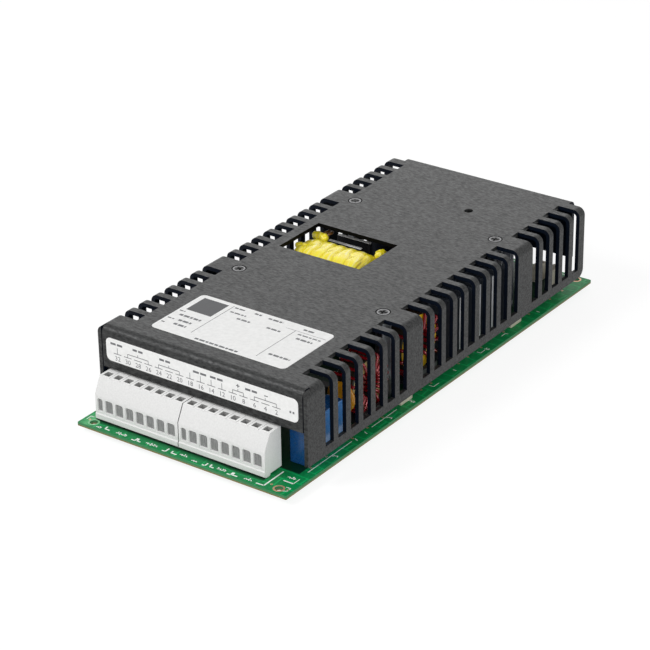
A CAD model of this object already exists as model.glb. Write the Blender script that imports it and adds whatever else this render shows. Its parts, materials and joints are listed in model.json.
"""Looks of an open-board power converter under a folded slotted cover.

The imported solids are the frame. Each sub-assembly is a class that builds its
own meshes round those solids and dresses them; lengths are in millimetres and
turn into metres where a mesh is made.
"""

import json
import logging
import math
from collections.abc import Callable, Sequence
from dataclasses import dataclass, field
from enum import Enum
from typing import Any

import bmesh
import bpy
from mathutils import Matrix, Vector

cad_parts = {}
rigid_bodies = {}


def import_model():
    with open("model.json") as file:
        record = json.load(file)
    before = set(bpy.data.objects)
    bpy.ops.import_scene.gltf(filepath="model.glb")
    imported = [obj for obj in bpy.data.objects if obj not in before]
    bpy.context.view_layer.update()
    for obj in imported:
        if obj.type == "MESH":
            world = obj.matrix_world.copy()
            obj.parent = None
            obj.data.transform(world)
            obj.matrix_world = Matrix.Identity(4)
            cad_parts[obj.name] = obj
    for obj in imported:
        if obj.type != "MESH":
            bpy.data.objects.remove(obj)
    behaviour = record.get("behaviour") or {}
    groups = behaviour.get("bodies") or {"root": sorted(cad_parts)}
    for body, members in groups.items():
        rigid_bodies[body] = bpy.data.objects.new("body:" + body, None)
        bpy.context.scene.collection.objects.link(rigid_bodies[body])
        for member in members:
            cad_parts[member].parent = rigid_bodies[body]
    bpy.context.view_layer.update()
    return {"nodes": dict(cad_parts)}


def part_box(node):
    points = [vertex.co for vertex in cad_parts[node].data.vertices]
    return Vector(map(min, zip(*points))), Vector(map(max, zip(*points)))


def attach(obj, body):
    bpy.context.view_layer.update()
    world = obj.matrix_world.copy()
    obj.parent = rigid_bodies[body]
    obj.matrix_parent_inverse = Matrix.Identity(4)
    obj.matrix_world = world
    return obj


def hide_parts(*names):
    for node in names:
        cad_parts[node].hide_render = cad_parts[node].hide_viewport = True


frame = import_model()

LOG = logging.getLogger("converter")
MM = 0.001
ROOT = "root"
Pair = tuple[float, float]
Point = tuple[float, float, float]
Ring = list[Point]
Box = tuple[Vector, Vector]

# Noise values between which the two tones mix, and between which the gloss changes.
TONE_SPAN = (0.32, 0.68)
GLOSS_SPAN = (0.3, 0.7)
# Share of a face's normal along an axis: the face lies along it, leans to it, or looks along it.
EDGE_ON, LEANING, FACE_ON = 0.3, 0.5, 0.9
# Metres within which points of a new mesh, and corners of a solid's triangles, are one point.
JOIN = 1e-7
MERGE = 2e-6
# Degrees up to which two faces are one flat face, and over which an edge is broken.
FLAT = 0.6
BROKEN = 34.0
# Seeds of the copies' turns and of the lean of the wire turns.
COPY_SEED = 7
LEAN_SEED = 11


class Slot(Enum):
    """The record's material slots."""

    BOARD = "board_green"
    COVER = "cover_black"
    BLACK_STEEL = "steel_black"
    BRIGHT_STEEL = "steel_bright"
    TERMINAL = "terminal_grey"
    TINNED = "tinned_metal"
    LABEL = "label_white"
    FERRITE = "ferrite_dark"
    BLACK_PLASTIC = "plastic_black"
    TAPE = "tape_yellow"
    WIRE = "wire_red"
    CORE = "core_yellow"
    FILM = "film_blue"
    DISC = "disc_amber"
    SINK = "sink_black"
    SLEEVE = "sleeve_dark"
    CAN = "can_bare"
    GLASS = "fuse_glass"
    PALE_PLASTIC = "plastic_pale"
    INK = "print_dark"
    SCREEN_PRINT = "print_white"
    COPPER = "copper_pad"


def linear(code: str) -> tuple[float, float, float, float]:
    """Turns an sRGB colour into linear light.

    Args:
        code: Colour as "#rrggbb".

    Returns:
        Linear red, green, blue and a full alpha.
    """
    parts = [int(code[i : i + 2], 16) / 255 for i in (1, 3, 5)]
    r, g, b = (c / 12.92 if c <= 0.04045 else ((c + 0.055) / 1.055) ** 2.4 for c in parts)
    return (r, g, b, 1.0)


def add_node(tree: Any, kind: str, sockets: dict[Any, Any] | None = None, **settings: Any) -> Any:
    """Adds one node to a tree, with its settings and links.

    Args:
        tree: Shader or geometry node tree.
        kind: Node type.
        sockets: Input name or number to a value, or to the socket that feeds it.
        settings: The node's own properties.

    Returns:
        The new node.
    """
    node = tree.nodes.new(kind)
    for key, value in settings.items():
        setattr(node, key, value)
    for key, value in (sockets or {}).items():
        if isinstance(value, bpy.types.NodeSocket):
            tree.links.new(value, node.inputs[key])
        else:
            node.inputs[key].default_value = value
    return node


@dataclass(frozen=True)
class Finish:
    """A surface of two tones mixed by its grain, which also sets gloss and relief.

    The grain is in millimetres, relief is the height of its bumps, and stretch
    squeezes the grain along each axis.
    """

    name: str
    slot: Slot
    colour: str
    tone: str
    grain: float
    rough: Pair
    relief: float = 0.008
    stretch: Point = (1.0, 1.0, 1.0)
    metallic: float = 0.0
    coat: float = 0.0
    clear: float = 0.0
    specular: float = 0.5

    def material(self) -> bpy.types.Material:
        """Returns the finish's material, made on first use."""
        return bpy.data.materials.get(self.name) or self.mix()

    def mix(self) -> bpy.types.Material:
        """Builds the material's nodes.

        Returns:
            The new material.
        """
        material = bpy.data.materials.new(self.name)
        material.use_nodes = True
        tree = material.node_tree
        tree.nodes.clear()
        place = add_node(tree, "ShaderNodeTexCoord").outputs["Object"]
        turned = add_node(tree, "ShaderNodeMapping", {"Vector": place, "Scale": self.stretch})
        grain = add_node(
            tree,
            "ShaderNodeTexNoise",
            {
                "Vector": turned.outputs[0],
                "Scale": 1 / (self.grain * MM),
                "Detail": 3.0,
                "Roughness": 0.6,
            },
        ).outputs[0]
        low, high = TONE_SPAN
        share = add_node(
            tree, "ShaderNodeMapRange", {"Value": grain, "From Min": low, "From Max": high}
        )
        tones = add_node(
            tree,
            "ShaderNodeMix",
            {0: share.outputs[0], 6: linear(self.colour), 7: linear(self.tone)},
            data_type="RGBA",
        ).outputs[2]
        low, high = GLOSS_SPAN
        sheen, matt = self.rough
        rough = add_node(
            tree,
            "ShaderNodeMapRange",
            {"Value": grain, "From Min": low, "From Max": high, "To Min": sheen, "To Max": matt},
        )
        bump = add_node(tree, "ShaderNodeBump", {"Distance": self.relief * MM, "Height": grain})
        shader = add_node(
            tree,
            "ShaderNodeBsdfPrincipled",
            {
                "Base Color": self.tint(tree, place, tones),
                "Roughness": rough.outputs[0],
                "Normal": bump.outputs[0],
                "Metallic": self.metallic,
                "Coat Weight": self.coat,
                "Coat Roughness": 0.15,
                "Transmission Weight": self.clear,
                "Specular IOR Level": self.specular,
            },
        )
        add_node(tree, "ShaderNodeOutputMaterial", {"Surface": shader.outputs[0]})
        return material

    def tint(self, tree: Any, place: Any, tones: Any) -> Any:
        """Gives the colour its pattern; a plain finish keeps its two tones."""
        return tones


@dataclass(frozen=True)
class MaskedBoard(Finish):
    """Solder mask over copper fields: green, dark on the bare strip, pale over a poured corner.

    The pairs that end in _x and _y are the middle of a strip and its reach to both sides.
    """

    track: str = "#12a45a"
    bare: str = "#01140a"
    hidden: str = "#04301a"
    poured: str = "#4aa868"
    field_l: float = 13.0
    field_w: float = 5.2
    gap: float = 0.35
    wander: float = 18.0
    drift: Pair = (6.0, 4.0)
    bare_x: Pair = (-4.7, 41.0)
    bare_y: Pair = (-103.8, 3.8)
    hidden_x: float = 44.5
    hidden_y: Pair = (6.3, 100.5)
    poured_x: Pair = (-46.5, 3.5)

    def tint(self, tree: Any, place: Any, tones: Any) -> Any:
        """Lays copper fields with gaps between them, the bare strip and the poured corner.

        Args:
            tree: The material's nodes.
            place: Object coordinates.
            tones: The mask's own two tones.

        Returns:
            The finished colour.
        """
        slow = add_node(
            tree,
            "ShaderNodeTexNoise",
            {"Vector": place, "Scale": 1 / (self.wander * MM), "Detail": 0.0},
        )
        drift = (self.drift[0] * MM, self.drift[1] * MM, 0.0)
        shifted = add_node(
            tree,
            "ShaderNodeVectorMath",
            {0: slow.outputs[1], 1: drift, 2: place},
            operation="MULTIPLY_ADD",
        )
        fields = add_node(
            tree,
            "ShaderNodeTexBrick",
            {
                "Vector": shifted.outputs[0],
                "Scale": 1.0,
                "Brick Width": self.field_l * MM,
                "Row Height": self.field_w * MM,
                "Mortar Size": self.gap * MM,
                "Mortar Smooth": 0.3,
            },
        )
        colour = add_node(
            tree,
            "ShaderNodeMix",
            {0: fields.outputs["Fac"], 6: tones, 7: linear(self.track)},
            data_type="RGBA",
        ).outputs[2]
        axes = add_node(tree, "ShaderNodeSeparateXYZ", {0: place})
        x, y = axes.outputs["X"], axes.outputs["Y"]
        poured = self.near(tree, x, *self.poured_x)
        beside = self.near(tree, y, *self.bare_y)
        strips = ((x, self.bare_x), (x, (0.0, self.hidden_x)), (y, self.hidden_y))
        along, wide, deep = (
            add_node(
                tree,
                "ShaderNodeMath",
                {0: value, 1: middle * MM, 2: reach * MM},
                operation="COMPARE",
            ).outputs[0]
            for value, (middle, reach) in strips
        )
        bare, hidden = (
            add_node(tree, "ShaderNodeMath", {0: one, 1: other}, operation="MULTIPLY").outputs[0]
            for one, other in ((beside, along), (wide, deep))
        )
        for part, shade in ((poured, self.poured), (hidden, self.hidden), (bare, self.bare)):
            colour = add_node(
                tree, "ShaderNodeMix", {0: part, 6: colour, 7: linear(shade)}, data_type="RGBA"
            ).outputs[2]
        return colour

    def near(self, tree: Any, value: Any, middle: float, reach: float) -> Any:
        """Fades from 1 on a line of the board to 0 at some distance from it.

        Args:
            tree: The material's nodes.
            value: One coordinate.
            middle: Where the line lies.
            reach: Distance at which nothing is left.

        Returns:
            Socket with the share.
        """
        off = add_node(tree, "ShaderNodeMath", {0: value, 1: middle * MM}, operation="SUBTRACT")
        away = add_node(tree, "ShaderNodeMath", {0: off.outputs[0]}, operation="ABSOLUTE")
        return add_node(
            tree,
            "ShaderNodeMapRange",
            {"Value": away.outputs[0], "From Max": reach * MM, "To Min": 1.0, "To Max": 0.0},
            interpolation_type="SMOOTHSTEP",
        ).outputs[0]


@dataclass(frozen=True)
class SawnEdge(Finish):
    """Edge of the laminate: mask run over its upper part, bare cloth and resin under it."""

    cloth: str = "#7d6d40"
    line: float = 2.95
    fade: float = 0.2

    def tint(self, tree: Any, place: Any, tones: Any) -> Any:
        """Turns the lower part of the edge to the bare laminate.

        Args:
            tree: The material's nodes.
            place: Object coordinates.
            tones: The mask's own two tones.

        Returns:
            The finished colour.
        """
        axes = add_node(tree, "ShaderNodeSeparateXYZ", {0: place})
        low, high = (self.line - self.fade) * MM, (self.line + self.fade) * MM
        under = add_node(
            tree,
            "ShaderNodeMapRange",
            {"Value": axes.outputs["Z"], "From Min": high, "From Max": low},
        )
        return add_node(
            tree,
            "ShaderNodeMix",
            {0: under.outputs[0], 6: tones, 7: linear(self.cloth)},
            data_type="RGBA",
        ).outputs[2]


@dataclass(frozen=True)
class WrappedTape(Finish):
    """Film tape in turns, paler where one turn's edge lies over the next and amber in its folds."""

    edge: str = "#fffac4"
    fold: str = "#a87800"

    def tint(self, tree: Any, place: Any, tones: Any) -> Any:
        """Lightens or darkens the tape by the wrap attribute of the winding's mesh.

        Args:
            tree: The material's nodes.
            place: Object coordinates.
            tones: The tape's own two tones.

        Returns:
            The finished colour.
        """
        wrap = add_node(tree, "ShaderNodeAttribute", attribute_name="wrap")
        under = add_node(
            tree, "ShaderNodeMath", {0: wrap.outputs["Fac"], 1: -1.0}, operation="MULTIPLY"
        )
        colour = tones
        for share, shade in ((wrap.outputs["Fac"], self.edge), (under.outputs[0], self.fold)):
            colour = add_node(
                tree, "ShaderNodeMix", {0: share, 6: colour, 7: linear(shade)}, data_type="RGBA"
            ).outputs[2]
        return colour


@dataclass(frozen=True)
class StripedSleeve(Finish):
    """Shrunk sleeve with the pale stripe that marks the negative lead."""

    stripe: str = "#9aa0a8"
    middle: float = 0.5
    half: float = 0.09

    def tint(self, tree: Any, place: Any, tones: Any) -> Any:
        """Draws the stripe from the sleeve's own turn attribute.

        Args:
            tree: The material's nodes.
            place: Object coordinates.
            tones: The sleeve's own two tones.

        Returns:
            The finished colour.
        """
        turn = add_node(tree, "ShaderNodeAttribute", attribute_name="turn")
        inside = add_node(
            tree,
            "ShaderNodeMath",
            {0: turn.outputs["Fac"], 1: self.middle, 2: self.half},
            operation="COMPARE",
        )
        return add_node(
            tree,
            "ShaderNodeMix",
            {0: inside.outputs[0], 6: tones, 7: linear(self.stripe)},
            data_type="RGBA",
        ).outputs[2]


# Grain sizes below are in millimetres. Lathe lines, eroded skins, pores and print are under
# 0.1 mm on the real part and are drawn at 0.2 to 0.9 mm, coarser than real, so that they show
# at this size. Waves in tape, lacquer, sleeves and glass are about as large as the real ones.

# Aluminium sheet, punched, folded and black anodised: a dark satin with fine rolling streaks.
# The streaks are drawn at 0.7 mm, coarser than real.
SHEET = Finish(
    "anodised_sheet", Slot.COVER, "#393a3a", "#060607", 0.7, (0.3, 0.5), 0.04,
    (0.4, 1.0, 1.0), specular=0.28,
)
# The same film worn thin along punched edges: a greyer line that catches the light.
WORN_EDGE = Finish("worn_sheet_edge", Slot.COVER, "#505052", "#39393b", 0.6, (0.26, 0.4), 0.01)
# The sheet's inner side, left darker and bluer by the dye bath: it swallows light.
INNER_SHEET = Finish(
    "inner_sheet", Slot.COVER, "#050e1c", "#030812", 1.2, (0.5, 0.65), 0.01, specular=0.12
)
# Steel, cold-headed and blackened: an oily near-black with a low sheen.
BLACK_STEEL = Finish(
    "blackened_steel", Slot.BLACK_STEEL, "#2a2a2b", "#1b1b1c", 0.25, (0.32, 0.5), 0.006
)
# Rim of the screw heads, rubbed bright by the driver.
BARE_RIM = Finish("bare_rim", Slot.BLACK_STEEL, "#98989a", "#626264", 0.5, (0.3, 0.4), 0.004)
# Gap between a head and its countersink, and the window's cut rim: film that no light reaches.
DARK_GAP = Finish(
    "countersink_gap", Slot.COVER, "#070708", "#030304", 0.4, (0.5, 0.65), 0.004, specular=0.05
)
# Steel, turned and zinc plated: cool, bright, with fine lathe lines.
ZINC = Finish(
    "zinc_plated_steel", Slot.BRIGHT_STEEL, "#b9bcc0", "#9b9ea3", 0.2, (0.25, 0.4), 0.005,
    metallic=1.0,
)
# Polyamide, injection moulded: a pale grey matt skin with a faint spark-eroded grain.
POLYAMIDE = Finish("moulded_polyamide", Slot.TERMINAL, "#f0f0ef", "#e7e7e6", 0.5, (0.5, 0.62), 0.01)
# Its grained front: the same grey, a little darker and rougher.
GRAINED = Finish("grained_polyamide", Slot.TERMINAL, "#dfdfde", "#d6d6d5", 0.7, (0.6, 0.72), 0.02)
# Its smooth top, cast against a polished insert.
SMOOTH_TOP = Finish("smooth_polyamide", Slot.TERMINAL, "#fdfdfc", "#f4f4f3", 0.8, (0.4, 0.5), 0.004)
# Clear-cut mould lines in the same polyamide: shadowed grey.
MOULD_LINE = Finish("mould_line", Slot.TERMINAL, "#a9a9a8", "#9b9b9a", 0.5, (0.6, 0.7))
# Gate-cut flanks and cored-out wells of the mouldings: rough, grey with handling.
GATE_CUT = Finish("gate_cut", Slot.TERMINAL, "#a2a2a1", "#8f8f8e", 0.5, (0.7, 0.8), 0.02)
# Clamp screws, zinc plated and passivated: a dull, soft grey.
DULL_ZINC = Finish(
    "dull_zinc_screw", Slot.BRIGHT_STEEL, "#b4b6b8", "#7d7f82", 0.3, (0.35, 0.5), 0.006,
    metallic=0.4,
)
# Brass, stamped and tinned: soft grey with a dull shine.
TINNED = Finish(
    "tinned_brass", Slot.TINNED, "#a8a9aa", "#8f9091", 0.3, (0.35, 0.5), 0.006, metallic=0.75
)
# Steel clamps, stamped and matt nickel plated: an even mid grey.
CLAMP = Finish(
    "nickel_clamp", Slot.TINNED, "#949494", "#7c7c7c", 0.5, (0.45, 0.6), 0.02, (1.0, 1.0, 0.3), 0.2
)
# Polyester label film with a matt top coat: clean white with a little mottle.
LABEL_FILM = Finish("label_film", Slot.LABEL, "#efefee", "#e6e6e5", 1.6, (0.42, 0.5), 0.003)
# Thermal-transfer ink on the film: broken dark grey.
INK = Finish("label_ink", Slot.INK, "#58595c", "#737477", 0.35, (0.5, 0.6), 0.002)
# A heavier pass of the same ink, in the solid field.
INK_SOLID = Finish("label_ink_solid", Slot.INK, "#3a3b3d", "#4a4b4d", 0.6, (0.45, 0.6), 0.002)
# Manganese-zinc ferrite, pressed and sintered: charcoal with pale pores.
FERRITE = Finish("sintered_ferrite", Slot.FERRITE, "#2b2c2f", "#3a3b3e", 0.35, (0.45, 0.65), 0.012)
# Phenolic and epoxy mouldings: black, slightly dusty.
PHENOLIC = Finish(
    "moulded_phenolic", Slot.BLACK_PLASTIC, "#1d1d1f", "#27272a", 0.4, (0.42, 0.6), 0.008
)
# Polyester film tape, wrapped by hand: lemon yellow, glossy, creased.
TAPE = WrappedTape(
    "polyester_tape", Slot.TAPE, "#fff32a", "#f6dc12", 1.8, (0.2, 0.36), 0.09, coat=0.35
)
# Copper wire with two coats of red enamel: deep red with sharp highlights.
ENAMEL = Finish(
    "red_enamel_wire", Slot.WIRE, "#a8121f", "#7d0c16", 0.9, (0.12, 0.24), 0.006,
    metallic=0.35, coat=0.8,
)
# Copper wire ends under amber varnish, brown where they bend.
VARNISH = Finish(
    "varnished_wire", Slot.WIRE, "#7d5426", "#553515", 1.2, (0.25, 0.4), 0.01,
    metallic=0.2, coat=0.3,
)
# Iron powder ring, its faces under yellow epoxy: chalky yellow with orange peel.
RING_COAT = Finish("epoxy_ring_coat", Slot.CORE, "#ecc728", "#dcb11c", 0.7, (0.35, 0.5), 0.02)
# The same coat in a dark brown mix, on the rims of both rings.
BROWN_COAT = Finish("brown_ring_coat", Slot.CORE, "#2c2418", "#1f1911", 0.7, (0.35, 0.5), 0.02)
# Faces of the front ring in a pale mix, as two-coloured rings have them.
PALE_FACE = Finish("pale_ring_face", Slot.CORE, "#cdbb82", "#b8a468", 0.7, (0.35, 0.5), 0.02)
# Polypropylene box filled with resin: strong blue, glossy, drawn in at the faces.
FILM_BOX = Finish(
    "blue_film_box", Slot.FILM, "#1f5896", "#184a82", 1.4, (0.2, 0.34), 0.015, coat=0.3
)
# Its drawn-in flanks, where the shell is thin over the winding: paler and brighter.
FILM_FLANK = Finish(
    "blue_film_flank", Slot.FILM, "#5b9be0", "#3f7fc8", 1.4, (0.2, 0.34), 0.03, coat=0.3
)
# Ceramic disc dipped in epoxy: amber lacquer with slow waves.
DIPPED = Finish("dipped_epoxy", Slot.DISC, "#dc9a1e", "#c78414", 1.8, (0.15, 0.3), 0.03, coat=0.5)
# Extruded aluminium, black anodised: satin with draw lines along the fins.
EXTRUSION = Finish(
    "anodised_extrusion", Slot.SINK, "#26272a", "#1b1c1f", 0.5, (0.35, 0.5), 0.01, (1.0, 1.0, 0.15)
)
# The finned profile has a thinner film: a dark grey with the same draw lines.
FIN_GREY = Finish(
    "anodised_fins", Slot.SINK, "#383d45", "#292d34", 0.5, (0.35, 0.5), 0.01, (1.0, 1.0, 0.15)
)
# Its fin tips, rubbed pale in handling.
FIN_TIP = Finish(
    "rubbed_fin_tips", Slot.SINK, "#d3d5d7", "#a9abae", 0.8, (0.3, 0.45), 0.01, (1.0, 1.0, 0.15)
)
# Saw-cut ends of such plates: bare, bright and matt.
SAW_CUT = Finish(
    "saw_cut_aluminium", Slot.SINK, "#ffffff", "#f0f0f0", 0.4, (0.4, 0.6), 0.01, (0.3, 2.0, 1.0)
)
# Shrunk polyester sleeve over an aluminium can: blue-black and satin.
SLEEVE = StripedSleeve("shrunk_sleeve", Slot.SLEEVE, "#121826", "#1a2131", 2.0, (0.4, 0.52), 0.012)
# Drawn aluminium can end, scored for venting: satin silver.
CAN_END = Finish(
    "drawn_aluminium", Slot.CAN, "#c4c6c8", "#aeb0b3", 0.4, (0.28, 0.4), 0.006, metallic=1.0
)
# Soda-lime tube of the fuse: clear, fire-polished.
GLASS = Finish(
    "fuse_glass_tube", Slot.GLASS, "#f3f7f6", "#eaf1ef", 3.0, (0.02, 0.06), 0.001, clear=1.0
)
# Pale polyester mouldings: ivory and satin.
IVORY = Finish("ivory_moulding", Slot.PALE_PLASTIC, "#d6cfbf", "#c8c0ae", 0.6, (0.4, 0.55), 0.01)
# Epoxy-glass board under green solder mask: satin skin over copper fields.
MASK = MaskedBoard(
    "solder_mask", Slot.BOARD, "#098748", "#087a41", 0.9, (0.35, 0.5), 0.01, specular=0.18
)
# Sawn edge of the epoxy-glass laminate: mid-green resin over a tan line of cut cloth.
LAMINATE = SawnEdge(
    "laminate_edge", Slot.BOARD, "#357f50", "#2a6c41", 0.6, (0.5, 0.7), 0.015, (0.3, 0.3, 2.0)
)
# Screen-printed epoxy ink: white and slightly broken.
SCREEN = Finish("screen_print", Slot.SCREEN_PRINT, "#f6f9f5", "#e6eee6", 0.4, (0.55, 0.7), 0.003)
# Copper pads under thin tin: pinkish tan.
COPPER = Finish(
    "tinned_copper_pad", Slot.COPPER, "#d9b399", "#c4906c", 0.8, (0.3, 0.45), 0.006, metallic=0.5
)
# The same pad where the mask runs over it: a paler green ring.
MASKED_PAD = Finish("masked_copper_pad", Slot.BOARD, "#7cc08c", "#66ad78", 0.8, (0.35, 0.5), 0.006)
# Wave-soldered joints: mirror-smooth tin with a soft haze.
SOLDER = Finish(
    "wave_solder", Slot.TINNED, "#c3c6c8", "#a9acae", 0.5, (0.18, 0.32), 0.008, metallic=1.0
)


@dataclass
class Sketch:
    """Points and faces of one piece, in millimetres."""

    points: list[Point] = field(default_factory=list)
    faces: list[tuple[int, ...]] = field(default_factory=list)

    def patch(self, points: Sequence[Point], faces: Sequence[tuple[int, ...]]) -> None:
        """Adds points and the faces between them.

        Args:
            points: New points.
            faces: Faces, numbered from the first new point.
        """
        start = len(self.points)
        self.points.extend(points)
        self.faces.extend(tuple(start + i for i in face) for face in faces)

    def loft(self, rings: Sequence[Ring], caps: bool = False) -> None:
        """Skins neighbouring closed rings of equal length.

        Args:
            rings: Rings of points.
            caps: Close the first and the last ring with a face.
        """
        n = len(rings[0])
        faces: list[tuple[int, ...]] = []
        for k in range(len(rings) - 1):
            for i in range(n):
                j = (i + 1) % n
                faces.append((k * n + i, k * n + j, (k + 1) * n + j, (k + 1) * n + i))
        if caps:
            last = (len(rings) - 1) * n
            faces.append(tuple(reversed(range(n))))
            faces.append(tuple(last + i for i in range(n)))
        self.patch([p for ring in rings for p in ring], faces)

    def wedge(self, wide: float, deep: float, levels: Sequence[Pair]) -> None:
        """Adds a closed block about Z whose section changes from level to level.

        Args:
            wide: Full width along X.
            deep: Full depth along Y.
            levels: Height of each level, and its share of the full section.
        """
        corners = ((-1, -1), (1, -1), (1, 1), (-1, 1))
        rings = [[(x * wide / 2 * s, y * deep / 2 * s, z) for x, y in corners] for z, s in levels]
        self.loft(rings, caps=True)

    def bar(self, start: Pair, end: Pair, width: float, z: float) -> None:
        """Adds one flat printed bar, facing up.

        Args:
            start: First end of its middle line.
            end: Other end.
            width: Width of the bar.
            z: Height it lies at.
        """
        along = Vector((end[0] - start[0], end[1] - start[1]))
        across = Vector((-along.y, along.x)).normalized() * width / 2
        first, last = Vector(start), Vector(end)
        corners = [first - across, last - across, last + across, first + across]
        self.patch([(c.x, c.y, z) for c in corners], [(0, 1, 2, 3)])

    def mesh(self, name: str, finish: Finish | None = None, solid: bool = True) -> bpy.types.Mesh:
        """Makes the mesh, in metres.

        Args:
            name: Mesh name.
            finish: Its finish, if it gets one here.
            solid: Merge doubles and turn the faces outwards.

        Returns:
            The new mesh.
        """
        mesh = bpy.data.meshes.new(name)
        mesh.from_pydata([tuple(c * MM for c in p) for p in self.points], [], self.faces)
        if finish is not None:
            mesh.materials.append(finish.material())
        if solid:
            shape = bmesh.new()
            shape.from_mesh(mesh)
            bmesh.ops.remove_doubles(shape, verts=shape.verts, dist=JOIN)
            bmesh.ops.recalc_face_normals(shape, faces=shape.faces)
            shape.to_mesh(mesh)
            shape.free()
        return mesh

    def piece(
        self, name: str, finish: Finish | None = None, solid: bool = True
    ) -> bpy.types.Object:
        """Makes the mesh, as mesh() does, and puts it in the scene."""
        return link(name, self.mesh(name, finish, solid))


def lathe(profile: Sequence[Pair], sides: int) -> list[Ring]:
    """Turns a profile about the Z axis.

    Args:
        profile: Radius and height of each point.
        sides: Points in one ring.

    Returns:
        One ring for each point of the profile.
    """
    angles = [2 * math.pi * i / sides for i in range(sides)]
    return [[(r * math.cos(a), r * math.sin(a), z) for a in angles] for r, z in profile]


def rounded_loop(
    half_u: float, half_v: float, radius: float, corner: int, side: int = 1
) -> list[Pair]:
    """Walks round a rectangle with round corners.

    Args:
        half_u: Half its width.
        half_v: Half its height.
        radius: Corner radius.
        corner: Steps in one corner.
        side: Steps along one side.

    Returns:
        Points, anticlockwise.
    """
    radius = min(radius, half_u, half_v)
    arcs = []
    for quarter, (su, sv) in enumerate(((1, 1), (-1, 1), (-1, -1), (1, -1))):
        centre = (su * (half_u - radius), sv * (half_v - radius))
        for k in range(corner + 1):
            a = math.pi / 2 * (quarter + k / corner)
            arcs.append((centre[0] + radius * math.cos(a), centre[1] + radius * math.sin(a)))
    loop: list[Pair] = []
    for i, p in enumerate(arcs):
        q = arcs[(i + 1) % len(arcs)]
        steps = side if i % (corner + 1) == corner else 1
        du, dv = q[0] - p[0], q[1] - p[1]
        loop.extend((p[0] + du * k / steps, p[1] + dv * k / steps) for k in range(steps))
    return loop


def link(name: str, mesh: bpy.types.Mesh) -> bpy.types.Object:
    """Puts a mesh in the scene as an object at the origin.

    Args:
        name: Name of the object.
        mesh: Its mesh.

    Returns:
        The new object.
    """
    piece = bpy.data.objects.new(name, mesh)
    bpy.context.scene.collection.objects.link(piece)
    return piece


def bake(piece: bpy.types.Object) -> bpy.types.Object:
    """Turns a piece with modifiers into a plain mesh.

    Args:
        piece: Object with modifiers.

    Returns:
        The same object, without them.
    """
    graph = bpy.context.evaluated_depsgraph_get()
    mesh = bpy.data.meshes.new_from_object(piece.evaluated_get(graph))
    piece.modifiers.clear()
    piece.data = mesh
    return piece


def settle(piece: bpy.types.Object, slot: Slot, *nodes: str, crease: float = 32.0) -> None:
    """Puts a finished piece on the part's body and reports it.

    Args:
        piece: Finished object.
        slot: The record's slot for its finish.
        nodes: Solids that it stands for.
        crease: Angle in degrees over which an edge stays sharp.
    """
    if not piece.data.has_custom_normals:
        piece.data.shade_smooth()
        piece.data.set_sharp_from_angle(angle=math.radians(crease))
    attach(piece, ROOT)
    if nodes:
        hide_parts(*nodes)
    LOG.info("%s: %d faces", piece.name, len(piece.data.polygons))


def copied_mesh(node: str) -> bmesh.types.BMesh:
    """Copies a solid's mesh, with its triangles merged into flat faces.

    Args:
        node: Name of the solid.

    Returns:
        A mesh to be freed by the caller.
    """
    source = frame["nodes"][node].data
    mesh = bpy.data.meshes.new(node + "_copy")
    faces = [tuple(p.vertices) for p in source.polygons]
    mesh.from_pydata([v.co for v in source.vertices], [], faces)
    shape = bmesh.new()
    shape.from_mesh(mesh)
    bpy.data.meshes.remove(mesh)
    bmesh.ops.remove_doubles(shape, verts=shape.verts, dist=MERGE)
    limit = math.radians(FLAT)
    bmesh.ops.dissolve_limit(shape, angle_limit=limit, verts=shape.verts, edges=shape.edges)
    return shape


def edged_copy(
    node: str,
    name: str,
    finish: Finish,
    edge: float,
    worn: Finish | None = None,
    cut: Sketch | None = None,
) -> bpy.types.Object:
    """Copies a solid and breaks its edges as the real part's are broken.

    Args:
        node: Name of the solid.
        name: Name of the new piece.
        finish: Its finish.
        edge: Width of the broken edge.
        worn: Finish of the edge faces, where it differs.
        cut: Shape that is taken away before the edges are broken.

    Returns:
        The new piece, not yet settled.
    """
    shape = copied_mesh(node)
    mesh = bpy.data.meshes.new(name)
    shape.to_mesh(mesh)
    shape.free()
    mesh.materials.append(finish.material())
    mesh.shade_smooth()
    piece = link(name, mesh)
    if cut is not None:
        carve(piece, cut)
    bevel = piece.modifiers.new("edge", "BEVEL")
    bevel.width = edge * MM
    bevel.segments = 2
    bevel.limit_method = "ANGLE"
    bevel.angle_limit = math.radians(BROKEN)
    if worn is not None:
        piece.data.materials.append(worn.material())
        bevel.material = 1
    flat = piece.modifiers.new("flat", "WEIGHTED_NORMAL")
    flat.weight = 100
    flat.keep_sharp = True
    return bake(piece)


def dress(node: str, name: str, finish: Finish, edge: float) -> None:
    """Copies a solid with broken edges and settles the copy in its place."""
    settle(edged_copy(node, name, finish, edge), finish.slot, node)


def repaint(
    piece: bpy.types.Object, finish: Finish, test: Callable[[Vector, Vector], bool]
) -> None:
    """Gives a second finish to the faces that pass a test.

    Args:
        piece: Object whose mesh is painted.
        finish: The other finish.
        test: Takes a face's centre in millimetres and its normal.
    """
    number = len(piece.data.materials)
    piece.data.materials.append(finish.material())
    for face in piece.data.polygons:
        if test(face.center / MM, face.normal):
            face.material_index = number


def solids(node: str) -> list[Box]:
    """Finds the box of every loose solid of a node.

    Args:
        node: Name of the node.

    Returns:
        Low and high corners in millimetres, from left to right and front to back.
    """
    shape = copied_mesh(node)
    left = set(shape.verts)
    boxes = []
    while left:
        queue = [left.pop()]
        found = []
        while queue:
            vert = queue.pop()
            found.append(vert.co / MM)
            near = {edge.other_vert(vert) for edge in vert.link_edges} & left
            left -= near
            queue.extend(near)
        boxes.append((Vector(map(min, *found)), Vector(map(max, *found))))
    shape.free()
    return sorted(boxes, key=lambda box: (round(box[0].x, 2), round(box[0].y, 2)))


def tops(boxes: Sequence[Box]) -> list[Point]:
    """Finds the middle of each box's top."""
    return [((a.x + b.x) / 2, (a.y + b.y) / 2, b.z) for a, b in boxes]


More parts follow.
